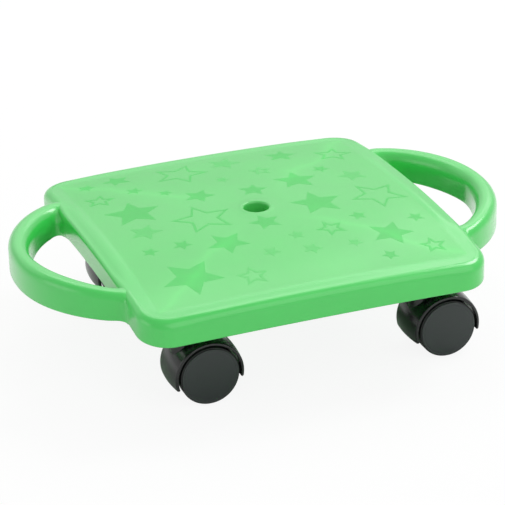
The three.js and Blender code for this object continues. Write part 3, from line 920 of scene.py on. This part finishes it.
stars = {
    "tips": 5,
    "inner": 0.47,          # inner corners, as a share of the tips' radius
    "proud": 0.06,
    "sunk": 0.4,
    "edge": 0.08,
    "line": 2.2,            # width of an outlined star's line
    "edgeSteps": 4,
    "rings": (1.0, 0.66, 0.33),
    # middle x, middle y, radius of the tips, turn of one tip in degrees
    "full": [
        (-82, 85, 8, 60), (-59.7, 65.8, 6.5, 60), (-99.1, 34.8, 25.3, 84), (-36.1, 44.6, 14.4, 54),
        (-116.5, 117, 8.5, 60), (-87, 120, 13, 30), (54.8, 44.2, 20, 81.4), (86, 62.5, 8.3, 49),
        (11.4, 36.8, 13.3, 71.4), (67.5, 112.7, 15, 71.7), (52.4, -10.6, 23.6, 89), (-3.5, -31, 14.5, 26),
        (-82.6, -43, 8.8, 52), (-111, -43.5, 7.5, 64), (-46.5, -54.9, 18.9, 44.6),
        (-93.2, -96.1, 26.6, 47.9), (75, -46.5, 8, 94), (121, -63.5, 8, 35), (88.9, -83.9, 19.9, 61.5),
        (73.1, -117.3, 7.5, 35.5),
    ],
    "fullWorn": [
        (-103, -7, 15, 59), (-3.8, 73, 7, 60), (105.8, 37.1, 13.6, 33.3), (13, 115, 15.5, 59),
        (-18.6, -82.6, 8, 50), (12, -63, 7.5, 90), (15.3, -88.7, 9, 60), (53, -90.5, 7.2, 50),
    ],
    "lined": [
        (-32.2, 105.8, 25.7, 57.8), (-49.4, -3.7, 28.2, 92.6), (-116.3, 77.7, 14.3, 71),
        (112.1, 96.6, 18.3, 69), (108.9, -12, 26.5, 43.9), (44.2, -61.2, 13.8, 32.5), (115, -112.6, 12.5, 88),
    ],
    "linedWorn": [(-46, -112, 14.5, 88), (35.3, 79.7, 11, 84.4)],
}


def starRing(star, lift, share, inset):
    x, y, radius, turn = star
    steps, inner, spacing = stars["edgeSteps"], stars["inner"], pi / stars["tips"]
    inradius = radius * inner * sin(spacing) / hypot(cos(spacing) * inner - 1, sin(spacing) * inner)
    scale = share * (1 - inset / inradius)

    def corner(k):
        reach, angle = radius * scale * (inner if k % 2 else 1), radians(turn) + spacing * k
        return Vector((reach * cos(angle), reach * sin(angle)))

    def ring(station):
        k, step = divmod(station, steps)
        point = blend(corner(k), corner(k + 1), step / steps)
        place = Vector((x + point.x, y + point.y))
        return Vector((place.x, place.y, fieldAt(place.x, place.y) + lift))
    return ring


def starBody(star, lines):
    # each line is the lift from the field, the share of the size and the inset of one ring
    count = 2 * stars["tips"] * stars["edgeSteps"]
    return ringBody(count, [starRing(star, *line) for line in lines], closed=True)


def fullStar(star):
    top, low, edge = stars["proud"], -stars["sunk"], stars["edge"]
    lines = [(low, 0, 0), (low, 1, 0), (top - edge, 1, 0)]
    return starBody(star, lines + [(top, share, edge) for share in stars["rings"]] + [(top, 0, 0)])


def linedStar(star):
    top, low, edge, line = stars["proud"], -stars["sunk"], stars["edge"], stars["line"]
    return starBody(star, [(low, 1, 0), (top - edge, 1, 0), (top, 1, edge), (top, 1, line - edge),
                           (top - edge, 1, line), (low, 1, line), (low, 1, 0)])


def buildStars():
    for name, full, lined in (("star_print", "full", "lined"), ("star_print_worn", "fullWorn", "linedWorn")):
        parts = [fullStar(star) for star in stars[full]] + [linedStar(star) for star in stars[lined]]
        newPiece(name + "s", gather(parts), "deck", "deck_plastic", finishName=name)


buildStars()
report("stars are laid in")


# Casters: hoods, wheels, discs, stems and washers

caster = {
    "hoodRadius": 31.2,       # outside, at mid width
    "edgeDrop": 1.3,          # smaller by this at its two rims
    "shell": 2.6,
    "hoodHalf": 20.4,
    "shoulder": 1.9,          # rounding where the hood turns into its rims
    "innerRound": 0.4,
    "lip": 1.25,              # rounding of the two ends
    "lipEnd": 0.12,           # what is left of the thickness there, as a share
    "leadDip": 16,            # degrees below the axle at the leading side
    "trailDip": 10,
    "neckRadius": 9.4,
    "neckRound": 0.7,
    "neckBend": 0.3,          # the rounding's middle point, as a share of it
    "neckSteps": 64,
    "web": 7,
    "webFrom": 30,            # degrees above the axle
    "webSteps": 24,
    "hubRadius": 6.4,
    "hubBevel": 0.5,
    "hubSteps": 48,
    "wellBevel": 0.4,
    "wellFloor": 4,
    "gap": 0.3,               # between parts that seat on each other
    "runningGap": 0.4,
    "turnSteps": 72,
}
wheel = {
    "rim": 3.4,
    "rimBevel": 0.3,
    "web": 2.2,
    "webFill": 0.8,           # where it meets the hub and the rim
    "hubRadius": 6.8,
    "hubBevel": 0.4,
    "shoulder": 0.8,
    "ribs": 8,
    "ribThickness": 1.6,
    "ribInset": 1.5,
    "ribSunk": 0.8,
    "steps": 96,
}
disc = {
    "radius": 24.6,
    "thickness": 1.5,
    "crown": 0.5,
    "edge": 0.75,
    "backBevel": 0.2,
    "grooveIn": 1.9,          # a fine ring groove, this far in from the edge
    "grooveWidth": 0.35,
    "grooveDepth": 0.16,
    "plugRadius": 5.2,
    "plugBevel": 0.3,
    "plug": 1.6,
}
stemShape = {
    "radius": 5.5,
    "collar": 1.6,
    "collarBevel": 0.3,
    "washerBevel": 0.25,
    "groove": 1.1,
    "wire": 1.5,
    "tip": 1.2,
    "seat": 0.3,
    "steps": 48,
}
wheelHalf = sizeOf("front_left_inner_wheel").y / 2
axleRadius = sizeOf("front_left_axle").z / 2
alongY = (0, 1, 0)


def sleeveProfile(bore, radius, low, high, bevel):
    return [(bore, low), (radius - bevel, low), (radius, low + bevel), (radius, high - bevel),
            (radius - bevel, high), (bore, high), (bore, low)]


def hoodSection(turn, share, narrow):
    # the hood's section at one angle; share thins it towards its middle, narrow pulls its rims in
    c = caster
    edge = c["hoodRadius"] - c["edgeDrop"]
    inside, reach, r = edge - c["shell"], c["hoodHalf"] - narrow, c["shoulder"]
    side = rounded(reach, inside, -c["innerRound"], c["innerRound"], 3)[::-1]
    side += rounded(reach, edge, -r, -r, 6)
    side += [((reach - r) * (1 - s), c["hoodRadius"] - c["edgeDrop"] * (1 - s) ** 2)
             for s in (0.15, 0.35, 0.6, 0.8)]
    points = side + [(0, c["hoodRadius"])] + [(-y, radius) for y, radius in reversed(side)]
    points += [(reach * s, inside) for s in (-0.5, 0, 0.5)]
    middle = (inside + edge) / 2
    return [Vector((blend(middle, radius, share) * cos(turn), y, blend(middle, radius, share) * sin(turn)))
            for y, radius in points]


def buildHood(corner):
    c = caster
    axle, stem = middleOf(corner + "_axle"), middleOf(corner + "_stem")
    start, end = -radians(c["trailDip"]), pi + radians(c["leadDip"])
    sections = [hoodSection(turn, 1, 0) for turn in arc(c["turnSteps"], start, end)]
    for t in arc(4, 0, pi / 2)[1:]:
        beyond, narrow = c["lip"] * sin(t) / c["hoodRadius"], c["lip"] * (1 - cos(t))
        share = max(cos(t), c["lipEnd"])
        sections.insert(0, hoodSection(start - beyond, share, narrow))
        sections.append(hoodSection(end + beyond, share, narrow))
    parts = [sectionBody(sections)]

    inside = c["hoodRadius"] - c["edgeDrop"] - c["shell"] / 2
    turns = arc(c["webSteps"], radians(c["webFrom"]), end - radians(c["leadDip"]) / 2)
    parts.append(slabBody([(0, 0)] + [(inside * cos(t), inside * sin(t)) for t in turns], c["web"]))
    hubHalf = abs(middleOf(corner + "_inner_wheel").y - axle.y) - wheelHalf - c["runningGap"]
    hub = sleeveProfile(axleRadius + c["gap"], c["hubRadius"], -hubHalf, hubHalf, c["hubBevel"])
    parts.append(turnedBody(hub, c["hubSteps"], axis=alongY))
    parts = [moved(part, axle) for part in parts]

    # the neck takes the stem in a well
    top, wellBottom = boxOf(corner + "_hood")[1].z, boxOf(corner + "_stem")[0].z - c["gap"]
    well, low = stemShape["radius"] + c["runningGap"], wellBottom - c["wellFloor"]
    n, r, bend, bevel = c["neckRadius"], c["neckRound"], c["neckRound"] * c["neckBend"], c["wellBevel"]
    neck = [(0, low), (n - r, low), (n, low + r), (n, top - r), (n - bend, top - bend), (n - r, top),
            (well + bevel, top), (well, top - bevel), (well, wellBottom), (0, wellBottom)]
    parts.append(turnedBody(neck, c["neckSteps"], (stem.x, stem.y, 0)))
    newPiece(corner + "_hood_shell", gather(parts), corner + "_caster", "hood_plastic", [corner + "_hood"])


def wheelBody(radius, inside, outside):
    w = wheel
    r, bevel, fill, mouth = w["shoulder"], w["hubBevel"], w["webFill"], w["rimBevel"]
    bore, hub, rim, web = axleRadius + caster["gap"], w["hubRadius"], radius - w["rim"], outside - w["web"]
    plug, plugFloor = disc["plugRadius"] + caster["gap"], outside - disc["plug"]
    profile = [(bore, inside + bevel), (bore + bevel, inside), (hub - bevel, inside), (hub, inside + bevel),
               (hub, web - fill), (hub + fill, web), (rim - fill, web), (rim, web - fill),
               (rim, inside + mouth), (rim + mouth, inside)]
    profile += rounded(radius, inside, -r, r, 4)[::-1] + rounded(radius, outside, -r, -r, 4)
    profile += [(plug, outside), (plug, plugFloor), (bore, plugFloor), (bore, inside + bevel)]
    parts = [turnedBody(profile, w["steps"], axis=alongY)]

    # spokes inside the wheel, open towards the caster's middle
    near, far, thick = hub - w["ribSunk"], rim + w["ribSunk"], w["ribThickness"] / 2
    low, high = inside + w["ribInset"], outside - w["web"] / 2
    outline = [(near, -thick), (far, -thick), (far, thick), (near, thick)]
    for k in range(w["ribs"]):
        spoke = moved(slabBody(outline, high - low), (0, (low + high) / 2, 0))
        parts.append(moved(spoke, turn=2 * pi * k / w["ribs"], axis="Y"))
    return gather(parts)


def discBody(inside):
    d = disc
    radius, plug, edge, bevel = d["radius"], d["plugRadius"], d["edge"], d["plugBevel"]
    face, back, groove = inside + d["thickness"], d["backBevel"], d["grooveWidth"]
    tip, ring = inside - d["plug"], radius - d["grooveIn"]

    def onFace(reach, depth=0.0):
        return reach, face - d["crown"] * (reach / radius) ** 2 - depth

    profile = [(0, tip), (plug - bevel, tip), (plug, tip + bevel), (plug, inside), (radius - back, inside),
               (radius, inside + back)]
    profile += rounded(radius, face - d["crown"], -edge, -edge, 5)
    profile += [onFace(ring + groove), onFace(ring, d["grooveDepth"]), onFace(ring - groove)]
    profile += [onFace(ring * s) for s in (0.93, 0.8, 0.65, 0.5, 0.35, 0.2, 0.08, 0)]
    return turnedBody(profile, wheel["steps"], axis=alongY)


def buildWheel(corner, place):
    # wheel and disc are drawn outwards from the caster's middle plane
    node = f"{corner}_{place}_wheel"
    axle = middleOf(corner + "_axle")
    off = middleOf(node).y - axle.y
    inside, outside = abs(off) - wheelHalf, abs(off) + wheelHalf
    moulding = wheelBody(sizeOf(node).z / 2, inside, outside)
    for name, bm, slotName, replaced in (
        ("_moulding", moulding, "wheel_plastic", node),
        ("_disc", discBody(outside + caster["gap"]), "cap_plastic", node + "_cap"),
    ):
        moved(bm, axle, scale=(1, copysign(1, off), 1))
        newPiece(node + name, bm, node + "_set", slotName, [replaced])


def buildStem(corner):
    s = stemShape
    stem, washer = corner + "_stem", corner + "_thrust_washer"
    middle, (low, high), (washerLow, washerHigh) = middleOf(stem), boxOf(stem), boxOf(washer)
    r, collarLow = s["radius"], washerHigh.z + s["seat"]

    def groove(node):
        at, reach, deep = middleOf(corner + node).z, s["wire"] / 2 + s["seat"], r - s["groove"]
        return [(r, at - reach), (deep, at - reach), (deep, at + reach), (r, at + reach)]

    pin = [(0, low.z), (r - s["tip"], low.z), (r, low.z + s["tip"])] + groove("_stem_clip")
    pin += sleeveProfile(r, sizeOf(stem).x / 2, collarLow, collarLow + s["collar"], s["collarBevel"])[:-1]
    pin += groove("_grip_ring") + [(r, high.z - 2 * s["tip"]), (r - s["tip"], high.z), (0, high.z)]
    bore, rim = r + caster["runningGap"], sizeOf(washer).x / 2
    ring = sleeveProfile(bore, rim, washerLow.z, washerHigh.z, s["washerBevel"])
    for name, profile, replaced in (("_swivel_stem", pin, stem), ("_swivel_washer", ring, washer)):
        bm = turnedBody(profile, s["steps"], (middle.x, middle.y, 0))
        newPiece(corner + name, bm, "deck", "steel", [replaced])


for corner in cornerSides:
    buildHood(corner)
    buildStem(corner)
    for place in ("outer", "inner"):
        buildWheel(corner, place)
    for node in ("_grip_ring", "_stem_clip", "_axle"):
        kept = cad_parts[corner + node]
        kept.data.materials.clear()
        kept.data.materials.append(materials["steel"])
report("casters are made")
